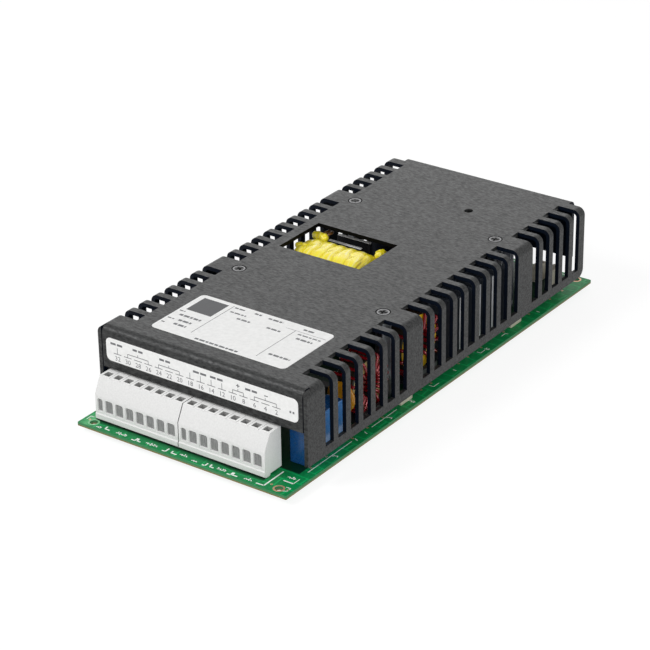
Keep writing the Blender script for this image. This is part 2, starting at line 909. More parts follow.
def carve(piece: bpy.types.Object, cutter: Sketch) -> None:
    """Cuts one closed shape out of a piece.

    Args:
        piece: Object to cut.
        cutter: Shape that is taken away.
    """
    tool = cutter.piece("cutter")
    cut = piece.modifiers.new("cut", "BOOLEAN")
    cut.operation = "DIFFERENCE"
    cut.solver = "EXACT"
    cut.object = tool
    bake(piece)
    bpy.data.objects.remove(tool)


class NodeTool:
    """A geometry node tree with named inputs that is run to give plain meshes."""

    def __init__(self, name: str, inputs: dict[str, str]) -> None:
        """Makes the tree and its inputs.

        Args:
            name: Name of the tree.
            inputs: Socket type of each named input.
        """
        self.tree = bpy.data.node_groups.new(name, "GeometryNodeTree")
        face = self.tree.interface
        face.new_socket("Geometry", in_out="INPUT", socket_type="NodeSocketGeometry")
        kinds = {**inputs, "Material": "NodeSocketMaterial"}
        self.ids = {
            key: face.new_socket(key, in_out="INPUT", socket_type=kind).identifier
            for key, kind in kinds.items()
        }
        face.new_socket("Geometry", in_out="OUTPUT", socket_type="NodeSocketGeometry")
        self.given = add_node(self.tree, "NodeGroupInput").outputs

    def close(self, geometry: Any) -> None:
        """Ends the tree: real faces with the finish that is given.

        Args:
            geometry: Socket with the instances.
        """
        real = add_node(self.tree, "GeometryNodeRealizeInstances", {"Geometry": geometry})
        dressed = add_node(
            self.tree,
            "GeometryNodeSetMaterial",
            {"Geometry": real.outputs[0], "Material": self.given["Material"]},
        )
        add_node(self.tree, "NodeGroupOutput", {"Geometry": dressed.outputs[0]})

    def run(
        self, name: str, finish: Finish, points: Sequence[Point], values: dict[str, Any]
    ) -> bpy.types.Object:
        """Runs the tree once.

        Args:
            name: Name of the new piece.
            finish: Its finish.
            points: Points of the host mesh, in millimetres.
            values: Value of each named input.

        Returns:
            The new piece, not yet settled.
        """
        host = bpy.data.meshes.new(name + "_points")
        host.from_pydata([tuple(c * MM for c in p) for p in points], [], [])
        piece = link(name, host)
        made = piece.modifiers.new("make", "NODES")
        made.node_group = self.tree
        for key, value in {**values, "Material": finish.material()}.items():
            made[self.ids[key]] = value
        return bake(piece)


class CopyTool(NodeTool):
    """Sets one shape on every point, each turned about Z by a seeded share of a range."""

    def __init__(self) -> None:
        """Builds the tree."""
        kinds = {"Shape": "NodeSocketObject", "Turn": "NodeSocketFloat", "Seed": "NodeSocketInt"}
        super().__init__("copies", kinds)
        tree, given = self.tree, self.given
        shape = add_node(tree, "GeometryNodeObjectInfo", {"Object": given["Shape"]})
        angle = add_node(
            tree,
            "FunctionNodeRandomValue",
            {2: 0.0, 3: given["Turn"], "Seed": given["Seed"]},
            data_type="FLOAT",
        )
        turn = add_node(tree, "ShaderNodeCombineXYZ", {"Z": angle.outputs[1]})
        turned = add_node(tree, "FunctionNodeEulerToRotation", {0: turn.outputs[0]})
        copies = add_node(
            tree,
            "GeometryNodeInstanceOnPoints",
            {
                "Points": given["Geometry"],
                "Instance": shape.outputs["Geometry"],
                "Rotation": turned.outputs[0],
            },
        )
        self.close(copies.outputs[0])

    def spread(
        self,
        name: str,
        finish: Finish,
        shape: bpy.types.Object,
        points: Sequence[Point],
        turn: float = 0.0,
    ) -> bpy.types.Object:
        """Copies a shape to the points and removes the pattern.

        Args:
            name: Name of the new piece.
            finish: Its finish.
            shape: Pattern at the origin.
            points: Where the copies go.
            turn: Largest turn in degrees.

        Returns:
            The new piece, not yet settled.
        """
        values = {"Shape": shape, "Turn": math.radians(turn), "Seed": COPY_SEED}
        piece = self.run(name, finish, points, values)
        bpy.data.objects.remove(shape)
        return piece


class TurnTool(NodeTool):
    """Winds round wire over a ring whose axis is X, one rounded turn at a time."""

    def __init__(self) -> None:
        """Builds the tree."""
        sizes = ("Span", "Depth", "Radius", "Wire", "Start", "Step", "Lean")
        kinds = {key: "NodeSocketFloat" for key in sizes}
        super().__init__("turns", {**kinds, "Turns": "NodeSocketInt"})
        tree, given = self.tree, self.given
        loop = add_node(
            tree,
            "GeometryNodeCurvePrimitiveQuadrilateral",
            {"Width": given["Span"], "Height": given["Depth"]},
            mode="RECTANGLE",
        )
        bend = add_node(tree, "ShaderNodeMath", {0: given["Wire"], 1: 1.5}, operation="MULTIPLY")
        soft = add_node(
            tree,
            "GeometryNodeFilletCurve",
            {"Curve": loop.outputs[0], "Radius": bend.outputs[0], "Count": 4},
            mode="POLY",
        )
        round_wire = add_node(
            tree,
            "GeometryNodeCurvePrimitiveCircle",
            {"Resolution": 10, "Radius": given["Wire"]},
            mode="RADIUS",
        )
        wire = add_node(
            tree,
            "GeometryNodeCurveToMesh",
            {"Curve": soft.outputs[0], "Profile Curve": round_wire.outputs[0]},
        )
        out = add_node(tree, "ShaderNodeCombineXYZ", {"Z": given["Radius"]})
        stood = add_node(
            tree,
            "GeometryNodeTransform",
            {
                "Geometry": wire.outputs[0],
                "Translation": out.outputs[0],
                "Rotation": (math.pi / 2, 0.0, 0.0),
            },
        )
        count = add_node(tree, "GeometryNodePoints", {"Count": given["Turns"]})
        number = add_node(tree, "GeometryNodeInputIndex")
        angle = add_node(
            tree,
            "ShaderNodeMath",
            {0: number.outputs[0], 1: given["Step"], 2: given["Start"]},
            operation="MULTIPLY_ADD",
        )
        less = add_node(tree, "ShaderNodeMath", {0: given["Lean"], 1: -1.0}, operation="MULTIPLY")
        lean = add_node(
            tree,
            "FunctionNodeRandomValue",
            {2: less.outputs[0], 3: given["Lean"], "Seed": LEAN_SEED},
            data_type="FLOAT",
        )
        pose = add_node(tree, "ShaderNodeCombineXYZ", {"X": angle.outputs[0], "Z": lean.outputs[1]})
        turned = add_node(tree, "FunctionNodeEulerToRotation", {0: pose.outputs[0]})
        copies = add_node(
            tree,
            "GeometryNodeInstanceOnPoints",
            {
                "Points": count.outputs[0],
                "Instance": stood.outputs[0],
                "Rotation": turned.outputs[0],
            },
        )
        self.close(copies.outputs[0])


class WireTool(NodeTool):
    """Draws one round wire along a smooth curve through the given points."""

    def __init__(self) -> None:
        """Builds the tree."""
        super().__init__("wires", {"Wire": "NodeSocketFloat", "Steps": "NodeSocketInt"})
        tree, given = self.tree, self.given
        points = add_node(tree, "GeometryNodeMeshToPoints", {"Mesh": given["Geometry"]})
        path = add_node(tree, "GeometryNodePointsToCurves", {"Points": points.outputs[0]})
        bent = add_node(
            tree,
            "GeometryNodeCurveSplineType",
            {"Curve": path.outputs[0]},
            spline_type="CATMULL_ROM",
        )
        even = add_node(
            tree, "GeometryNodeResampleCurve", {"Curve": bent.outputs[0], "Count": given["Steps"]}
        )
        section = add_node(
            tree,
            "GeometryNodeCurvePrimitiveCircle",
            {"Resolution": 12, "Radius": given["Wire"]},
            mode="RADIUS",
        )
        wire = add_node(
            tree,
            "GeometryNodeCurveToMesh",
            {"Curve": even.outputs[0], "Profile Curve": section.outputs[0], "Fill Caps": True},
        )
        self.close(wire.outputs[0])


@dataclass
class Studio:
    """Camera, pale floor, soft lamps and white surround."""

    position: Point = (0.517406, -0.725118, 0.461917)
    right: Point = (0.8120539, 0.5834130, -0.0140606)
    down: Point = (0.2518591, -0.3720941, -0.8933717)
    ahead: Point = (-0.5264365, 0.7219247, -0.4490984)
    focal: float = 2457.38
    image: float = 650.0
    ambient: float = 0.42
    floor_half: float = 6000.0
    floor_lit: float = 0.75
    floor_seen: float = 0.22
    floor_glow: float = 0.84
    lamps: tuple[tuple[str, Point, float, float], ...] = (
        ("key", (-0.65, -0.85, 1.05), 9.2, 0.5),
        ("fill", (1.25, -0.55, 0.55), 3.5, 0.9),
        ("front", (0.62, -0.87, 0.555), 3.2, 0.25),
        ("back", (-0.75, 1.05, 0.7), 1.7, 0.8),
    )

    def camera(self) -> None:
        """Sets the camera at the photograph's viewing angle."""
        data = bpy.data.cameras.new("camera")
        data.sensor_width = 36.0
        data.lens = self.focal * data.sensor_width / self.image
        data.clip_start, data.clip_end = 0.05, 50.0
        camera = bpy.data.objects.new("camera", data)
        rows = [
            (self.right[i], -self.down[i], -self.ahead[i], self.position[i]) for i in range(3)
        ]
        camera.matrix_world = Matrix([*rows, (0.0, 0.0, 0.0, 1.0)])
        bpy.context.scene.collection.objects.link(camera)
        bpy.context.scene.camera = camera

    def seen(self, tree: Any) -> Any:
        """Adds the test for rays that show the surround: camera, glossy and clear ones.

        Args:
            tree: World or floor nodes.

        Returns:
            Socket that is 1 for such rays.
        """
        path = add_node(tree, "ShaderNodeLightPath").outputs
        shown = path["Is Camera Ray"]
        for kind in ("Is Glossy Ray", "Is Transmission Ray"):
            shown = add_node(
                tree, "ShaderNodeMath", {0: shown, 1: path[kind]}, operation="MAXIMUM"
            ).outputs[0]
        return shown

    def world(self) -> None:
        """Makes the surround white to look at and soft as a light."""
        world = bpy.data.worlds.new("surround")
        world.use_nodes = True
        tree = world.node_tree
        tree.nodes.clear()
        level = add_node(
            tree,
            "ShaderNodeMapRange",
            {"Value": self.seen(tree), "To Min": self.ambient, "To Max": 1.0},
        )
        light = add_node(
            tree,
            "ShaderNodeBackground",
            {"Color": (1.0, 1.0, 1.0, 1.0), "Strength": level.outputs[0]},
        )
        add_node(tree, "ShaderNodeOutputWorld", {"Surface": light.outputs[0]})
        bpy.context.scene.world = world

    def floor(self) -> None:
        """Lays the pale floor, which looks white and keeps a soft shadow."""
        sheet = Sketch()
        half = self.floor_half
        sheet.bar((-half, 0.0), (half, 0.0), 2 * half, 0.0)
        mesh = sheet.mesh("floor", solid=False)
        material = bpy.data.materials.new("pale_floor")
        material.use_nodes = True
        tree = material.node_tree
        tree.nodes.clear()
        seen = self.seen(tree)
        lit, shown = ((level, level, level, 1.0) for level in (self.floor_lit, self.floor_seen))
        tone = add_node(tree, "ShaderNodeMix", {0: seen, 6: lit, 7: shown}, data_type="RGBA")
        matt = add_node(tree, "ShaderNodeBsdfDiffuse", {"Color": tone.outputs[2]})
        glow = add_node(tree, "ShaderNodeMapRange", {"Value": seen, "To Max": self.floor_glow})
        white = add_node(
            tree, "ShaderNodeEmission", {"Color": (1.0, 1.0, 1.0, 1.0), "Strength": glow.outputs[0]}
        )
        both = add_node(tree, "ShaderNodeAddShader", {0: matt.outputs[0], 1: white.outputs[0]})
        add_node(tree, "ShaderNodeOutputMaterial", {"Surface": both.outputs[0]})
        mesh.materials.append(material)
        link("floor", mesh)

    def lamp(self, name: str, place: Point, power: float, size: float) -> None:
        """Hangs one square lamp that looks at the part.

        Args:
            name: Name of the lamp.
            place: Where it hangs, in metres.
            power: Power in watts.
            size: Side of its face, in metres.
        """
        data = bpy.data.lights.new(name, "AREA")
        data.energy, data.size = power, size
        lamp = bpy.data.objects.new(name, data)
        facing = (-Vector(place)).to_track_quat("-Z", "Y").to_matrix().to_4x4()
        lamp.matrix_world = Matrix.Translation(place) @ facing
        bpy.context.scene.collection.objects.link(lamp)

    def build(self) -> None:
        """Sets up the whole studio."""
        bpy.context.scene.view_settings.view_transform = "Standard"
        self.camera()
        self.world()
        self.floor()
        for lamp in self.lamps:
            self.lamp(*lamp)


@dataclass
class CoverShell:
    """Folded, slotted cover with its countersunk screws."""

    copies: CopyTool
    edge: float = 0.28
    inner_x: float = 48.1
    inner_z: float = 38.55
    inner_y: Pair = (-93.95, 106.55)
    window: tuple[float, float, float, float] = (-34.7, 5.7, 0.45, 28.45)
    head_r: float = 2.9
    recess: float = 1.0
    recess_l: float = 3.6
    recess_levels: tuple[Pair, ...] = ((-1.3, 0.55), (0.2, 1.0))
    head_turn: float = 80.0
    rim: Pair = (-0.95, -0.36)
    gap: Pair = (-0.32, 0.75)
    ring_z: Pair = (-0.02, 0.014)
    ring_edge: float = 0.05

    def shell(self) -> None:
        """Copies the folded sheet with worn punched edges and a darker inner side."""
        piece = edged_copy("cover", "cover_shell", SHEET, self.edge, WORN_EDGE)
        low, high = self.inner_y
        repaint(
            piece,
            INNER_SHEET,
            lambda c, n: abs(c.x) < self.inner_x and c.z < self.inner_z and low < c.y < high,
        )
        x0, x1, y0, y1 = self.window
        repaint(
            piece,
            DARK_GAP,
            lambda c, n: x0 < c.x < x1 and y0 < c.y < y1 and abs(n.z) < EDGE_ON,
        )
        settle(piece, Slot.COVER, "cover")

    def screws(self) -> None:
        """Sets the four cross-recessed screws, with rubbed rims and dark gaps round them."""
        spots = tops(solids("cover_screws"))
        r = self.head_r
        profile = [
            (0, 0), (r - 0.5, 0), (r - 0.18, -0.05), (r, -0.2),
            (1.55, -1.6), (1.5, -5.0), (0, -5.0),
        ]
        head = Sketch()
        head.loft(lathe(profile, 36))
        shape = head.piece("screw_pattern", BLACK_STEEL)
        for wide, deep in ((self.recess, self.recess_l), (self.recess_l, self.recess)):
            cross = Sketch()
            cross.wedge(wide, deep, self.recess_levels)
            carve(shape, cross)
        piece = self.copies.spread("cover_screw_heads", BLACK_STEEL, shape, spots, self.head_turn)
        settle(piece, Slot.BLACK_STEEL, "cover_screws")
        low, high = self.ring_z
        edge = self.ring_edge
        for name, finish, (inside, outside) in (
            ("rubbed_rims", BARE_RIM, self.rim),
            ("countersink_gaps", DARK_GAP, self.gap),
        ):
            inner, outer = r + inside, r + outside
            ring = Sketch()
            ring.loft(
                lathe([(outer, low), (outer - edge, high), (inner + edge, high), (inner, low)], 40)
            )
            pattern = ring.piece(name + "_pattern", finish, solid=False)
            settle(self.copies.spread(name, finish, pattern, spots), finish.slot)

    def build(self) -> None:
        """Builds the cover."""
        self.shell()
        self.screws()


@dataclass
class LabelSet:
    """The two labels, with their print as plain bars, rules and pin numbers."""

    film: float = 0.17
    lift: float = 0.012
    corner: float = 2.2
    first_pin_x: float = -40.1
    pin_pitch: float = 5.06
    pins: int = 16
    digit_h: float = 2.0
    digit_z: float = 27.1
    type_size: float = 1.4
    soft: float = 0.06
    solid_field: tuple[Pair, Pair, float] = ((-29.4, -60.6), (-17.4, -60.6), 11.8)
    text_rows: tuple[tuple[float, float, float, float], ...] = (
        (-28.6, -18.3, -71.4, 1.3), (-26.0, -19.8, -75.4, 1.3), (-25.6, -19.7, -78.8, 1.3),
        (-31.0, -28.2, -68.4, 0.7), (-31.0, -27.9, -75.7, 0.7), (-31.0, -29.4, -79.7, 0.7),
        (-14.3, -9.2, -54.9, 0.9), (-13.8, -6.2, -58.6, 0.9), (-4.8, -1.6, -54.7, 1.1),
        (2.1, 9.1, -55.1, 1.1), (-8.1, -1.8, -61.9, 1.1), (6.1, 12.7, -61.7, 1.1),
        (-11.1, 9.2, -84.1, 1.1), (18.9, 24.1, -55.3, 1.1), (19.3, 29.9, -59.6, 0.8),
        (20.8, 28.3, -62.8, 1.2), (19.7, 29.5, -78.6, 1.2),
    )
    word_runs: tuple[float, ...] = (1.7, 2.6, 1.2, 2.1)
    word_space: float = 0.45
    rules: tuple[tuple[Pair, Pair, float], ...] = (
        ((-15.3, -54.0), (-15.3, -81.1), 0.28),
        ((16.9, -57.6), (16.9, -82.7), 0.28),
        ((12.3, -57.6), (31.0, -57.6), 0.2),
    )
    tick_z: float = 30.0
    half_tick: float = 1.9
    bracket_z: float = 31.5
    stem_top: float = 32.5
    lone_top: float = 32.6
    rule_w: float = 0.3
    stem_w: float = 0.25
    groups: tuple[tuple[int, int], ...] = ((1, 3), (4, 6), (11, 12), (13, 15))
    lone_pins: tuple[int, ...] = (0, 7, 8, 9, 10)
    front_words: tuple[Point, ...] = (
        (-43.4, -37.6, 34.0), (-32.4, -27.5, 34.2), (-19.3, -14.1, 34.0), (-3.1, 3.2, 33.7),
        (5.0, 11.0, 33.8), (21.5, 27.0, 33.6), (41.8, 44.0, 30.2),
    )
    front_h: float = 0.9
    half_space: float = 0.3
    signs: tuple[tuple[Pair, Pair], ...] = (
        ((17.3, 33.8), (18.9, 33.8)), ((18.1, 33.0), (18.1, 34.6)), ((30.3, 33.4), (32.0, 33.4)),
    )
    sign_w: float = 0.4

    def plate(self, node: str, name: str, turn: Matrix, size: Pair, base: Vector) -> None:
        """Makes one label with round corners and a soft upper edge.

        Args:
            node: Solid that it stands for.
            name: Name of the piece.
            turn: Turn from the flat to its place.
            size: Width and height.
            base: Middle of its back, in millimetres.
        """
        sheet = Sketch()
        rings = []
        top = self.film
        for inset, z in ((0.0, 0.0), (0.0, top - self.soft), (self.soft, top), (0.5, top)):
            loop = rounded_loop(size[0] / 2 - inset, size[1] / 2 - inset, self.corner - inset, 8)
            rings.append([(u, v, z) for u, v in loop])
        sheet.loft(rings, caps=True)
        mesh = sheet.mesh(name, LABEL_FILM)
        mesh.transform(Matrix.Translation(base * MM) @ turn)
        settle(link(name, mesh), Slot.LABEL, node)

    def top(self) -> None:
        """Builds the label on the cover's top."""
        low, high = (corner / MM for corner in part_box("top_label"))
        middle = Vector(((low.x + high.x) / 2, (low.y + high.y) / 2, low.z))
        size = (high.x - low.x, high.y - low.y)
        self.plate("top_label", "top_label_film", Matrix.Identity(4), size, middle)
        z = low.z + self.film + self.lift
        solid = Sketch()
        solid.bar(*self.solid_field, z)
        piece = solid.piece("top_label_field", INK_SOLID, solid=False)
        settle(piece, Slot.INK)
        bars = Sketch()
        for x0, x1, y, height in self.text_rows:
            x = x0
            step = 0
            while x < x1:
                run = min(self.word_runs[step % len(self.word_runs)], x1 - x)
                bars.bar((x, y), (x + run, y), height, z)
                x += run + self.word_space
                step += 1
        for rule in self.rules:
            bars.bar(*rule, z)
        piece = bars.piece("top_label_print", INK, solid=False)
        settle(piece, Slot.INK)

    def digits(self, text: str, x: float) -> bpy.types.Mesh:
        """Makes the mesh of one pin number, flat on XY.

        Args:
            text: The number.
            x: Its middle, in millimetres.

        Returns:
            A mesh in metres.
        """
        curve = bpy.data.curves.new("number", "FONT")
        curve.body = text
        curve.size = self.digit_h * self.type_size * MM
        curve.align_x = "CENTER"
        curve.resolution_u = 2
        words = bpy.data.objects.new("number", curve)
        bpy.context.scene.collection.objects.link(words)
        graph = bpy.context.evaluated_depsgraph_get()
        mesh = bpy.data.meshes.new_from_object(words.evaluated_get(graph))
        bpy.data.objects.remove(words)
        mesh.transform(Matrix.Translation((x * MM, self.digit_z * MM, 0.0)))
        return mesh

    def front(self) -> None:
        """Builds the label on the front flange, with a number over each pole."""
        low, high = (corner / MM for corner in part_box("front_label"))
        upright = Matrix.Rotation(math.pi / 2, 4, "X")
        middle = Vector(((low.x + high.x) / 2, high.y, (low.z + high.z) / 2))
        size = (high.x - low.x, high.z - low.z)
        self.plate("front_label", "front_label_film", upright, size, middle)
        marks = Sketch()
        for k in range(self.pins):
            x = self.first_pin_x + k * self.pin_pitch
            ends = ((x - self.half_tick, self.tick_z), (x + self.half_tick, self.tick_z))
            marks.bar(*ends, self.rule_w, 0.0)
        for first, last in self.groups:
            x0 = self.first_pin_x + first * self.pin_pitch
            x1 = self.first_pin_x + last * self.pin_pitch
            marks.bar((x0, self.bracket_z), (x1, self.bracket_z), self.rule_w, 0.0)
            for x, foot, top in (
                (x0, self.tick_z, self.bracket_z),
                (x1, self.tick_z, self.bracket_z),
                ((x0 + x1) / 2, self.bracket_z, self.stem_top),
            ):
                marks.bar((x, foot), (x, top), self.stem_w, 0.0)
        for pin in self.lone_pins:
            x = self.first_pin_x + pin * self.pin_pitch
            marks.bar((x, self.tick_z), (x, self.lone_top), self.stem_w, 0.0)
        for x0, x1, z in self.front_words:
            x = (x0 + x1) / 2
            marks.bar((x0, z), (x - self.half_space, z), self.front_h, 0.0)
            marks.bar((x + self.half_space, z), (x1, z), self.front_h, 0.0)
        for sign in self.signs:
            marks.bar(*sign, self.sign_w, 0.0)
        shape = bmesh.new()
        shape.from_mesh(marks.mesh("front_marks", solid=False))
        for k in range(self.pins):
            number = self.digits(str(2 * (self.pins - k)), self.first_pin_x + k * self.pin_pitch)
            shape.from_mesh(number)
        mesh = bpy.data.meshes.new("front_label_print")
        shape.to_mesh(mesh)
        shape.free()
        mesh.materials.clear()
        mesh.materials.append(INK.material())
        depth = high.y - self.film - self.lift
        mesh.transform(Matrix.Translation((0.0, depth * MM, 0.0)) @ upright)
        settle(link("front_label_print", mesh), Slot.INK)

    def build(self) -> None:
        """Builds both labels."""
        self.top()
        self.front()


@dataclass
class TerminalRow:
    """Two grey screw-terminal blocks with clamps, screws and pins."""

    copies: CopyTool
    edge: float = 0.16
    line: float = 0.14
    slot_w: float = 0.55
    ribs: int = 3
    foot_h: float = 0.65
    foot_in: float = 0.8
    foot_past: float = 1.0
    skin: float = 0.05
    seam: float = 0.02
    well_rim: float = 0.2
    well_reach: float = 2.1
    well_floor: float = 10.0
    line_from: float = 2.6
    line_short: float = 0.2
    line_lift: float = 0.01
    groove_l: float = 2.4
    groove_z: Pair = (-0.8, 0.3)
    screw_turn: float = 150.0
    clamp_soft: float = 0.12
    clamp_corner: float = 0.35
    narrower: float = 0.3
    rib_pitch: float = 0.55
    rib_w: float = 0.12
    rib_h: float = 0.7
    rib_corner: float = 0.1
    rib_out: float = 0.1
    rib_in: float = 0.05
    rib_foot: Pair = (1.6, 1.05)
    pin_edge: float = 0.08
    wells: list[Vector] = field(default_factory=list)

    def blocks(self) -> None:
        """Copies the two mouldings with softened edges and a stepped foot along the front."""
        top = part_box("terminal_left")[1].z / MM - self.well_rim
        self.wells = [Vector((x, y, top)) for x, y, _ in tops(solids("terminal_screws"))]
        for side in ("left", "right"):
            node = f"terminal_{side}"
            low, high = (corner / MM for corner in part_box(node))
            back, top = low.y + self.foot_in, low.z + self.foot_h
            front, under = low.y - self.foot_past, low.z - self.foot_past
            outline = ((front, under), (back, under), (back, top), (front, top))
            ends = (low.x - self.foot_past, high.x + self.foot_past)
            foot = Sketch()
            foot.loft([[(x, y, z) for y, z in outline] for x in ends], caps=True)
            piece = edged_copy(node, f"terminal_block_{side}", POLYAMIDE, self.edge, cut=foot)
            joint = high.x if side == "left" else low.x
            lid = high.z - self.skin
            repaint(piece, GRAINED, lambda c, n: n.y < -EDGE_ON and abs(n.x) < EDGE_ON)
            repaint(piece, SMOOTH_TOP, lambda c, n: n.z > FACE_ON and c.z > lid)
            repaint(
                piece,
                GATE_CUT,
                lambda c, n: abs(c.x - joint) < self.seam and abs(n.x) > FACE_ON,
            )
            repaint(piece, GATE_CUT, self.in_well)
            settle(piece, Slot.TERMINAL, node)

    def in_well(self, place: Vector, normal: Vector) -> bool:
        """Tells whether a face of a block lies in a screw well."""
        near = any(
            abs(place.x - well.x) < self.well_reach and abs(place.y - well.y) < self.well_reach
            for well in self.wells
        )
        return near and self.well_floor < place.z < self.wells[0].z and normal.z < FACE_ON

    def lines(self) -> None:
        """Draws the mould lines between neighbouring poles on the blocks' tops."""
        boxes = solids("terminal_screws")
        pitch = boxes[1][0].x - boxes[0][0].x
        marks = Sketch()
        for side in ("left", "right"):
            low, high = (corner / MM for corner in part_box(f"terminal_{side}"))
            front = (boxes[0][0].y + boxes[0][1].y) / 2 - self.line_from
            count = round((high.x - low.x) / pitch)
            for k in range(1, count):
                x = low.x + (high.x - low.x) * k / count
                ends = ((x, front), (x, high.y - self.line_short))
                marks.bar(*ends, self.line, high.z + self.line_lift)
        mesh = marks.mesh("terminal_mould_lines", MOULD_LINE, solid=False)
        settle(link("terminal_mould_lines", mesh), Slot.TERMINAL)

    def screws(self) -> None:
        """Sets a slotted screw in every well."""
        boxes = solids("terminal_screws")
        low, high = boxes[0]
        r = (high.x - low.x) / 2
        profile = [
            (0, 0), (r - 0.25, -0.02), (r - 0.06, -0.12), (r, -0.3),
            (r, -1.7), (0.9, -1.8), (0.9, -3.4), (0, -3.4),
        ]
        head = Sketch()
        head.loft(lathe(profile, 24))
        shape = head.piece("clamp_screw_pattern", DULL_ZINC)
        groove = Sketch()
        groove.wedge(r * self.groove_l, self.slot_w, [(z, 1.0) for z in self.groove_z])
        carve(shape, groove)
        spots = tops(boxes)
        piece = self.copies.spread("terminal_screw_heads", DULL_ZINC, shape, spots, self.screw_turn)
        settle(piece, Slot.BRIGHT_STEEL, "terminal_screws")

    def clamp(self, name: str, size: Vector) -> bpy.types.Object:
        """Makes the pattern of one closed clamp with a ribbed face.

        Args:
            name: Name of the pattern.
            size: Its width, depth and height.

        Returns:
            The pattern, at the origin.
        """
        w, d, h = size / 2
        body = Sketch()
        rings = []
        for y, inset in ((-d, self.clamp_soft), (-d + self.clamp_soft, 0.0), (d, 0.0)):
            loop = rounded_loop(w - inset, h - inset, self.clamp_corner, 3)
            rings.append([(u, y, v) for u, v in loop])
        body.loft(rings, caps=True)
        rib = rounded_loop(self.rib_w, h * self.rib_h, self.rib_corner, 2)
        wider, taller = self.rib_foot
        for k in range(self.ribs):
            x = (k - (self.ribs - 1) / 2) * w * self.rib_pitch
            crest = [(x + u, -d - self.rib_out, v) for u, v in rib]
            foot = [(x + u * wider, -d + self.rib_in, v * taller) for u, v in rib]
            body.loft([crest, foot], caps=True)
        return body.piece(name, CLAMP)

    def clamps(self) -> None:
        """Sets a clamp in every wire entry; the first one of each block is narrower."""
        boxes = solids("terminal_clamps")
        wide = max(high.x - low.x for low, high in boxes)
        for name, narrow in (("terminal_clamp_faces", False), ("terminal_clamp_ends", True)):
            chosen = [(a, b) for a, b in boxes if (b.x - a.x < wide - self.narrower) == narrow]
            shape = self.clamp(name + "_pattern", chosen[0][1] - chosen[0][0])
            spots = [tuple((a + b) / 2) for a, b in chosen]
            piece = self.copies.spread(name, CLAMP, shape, spots)
            settle(piece, Slot.TINNED, *(() if narrow else ("terminal_clamps",)))

    def pins(self) -> None:
        """Copies the pins that stand under the blocks."""
        dress("terminal_pins", "terminal_pin_feet", TINNED, self.pin_edge)

    def build(self) -> None:
        """Builds the row."""
        self.blocks()
        self.lines()
        self.screws()
        self.clamps()
        self.pins()


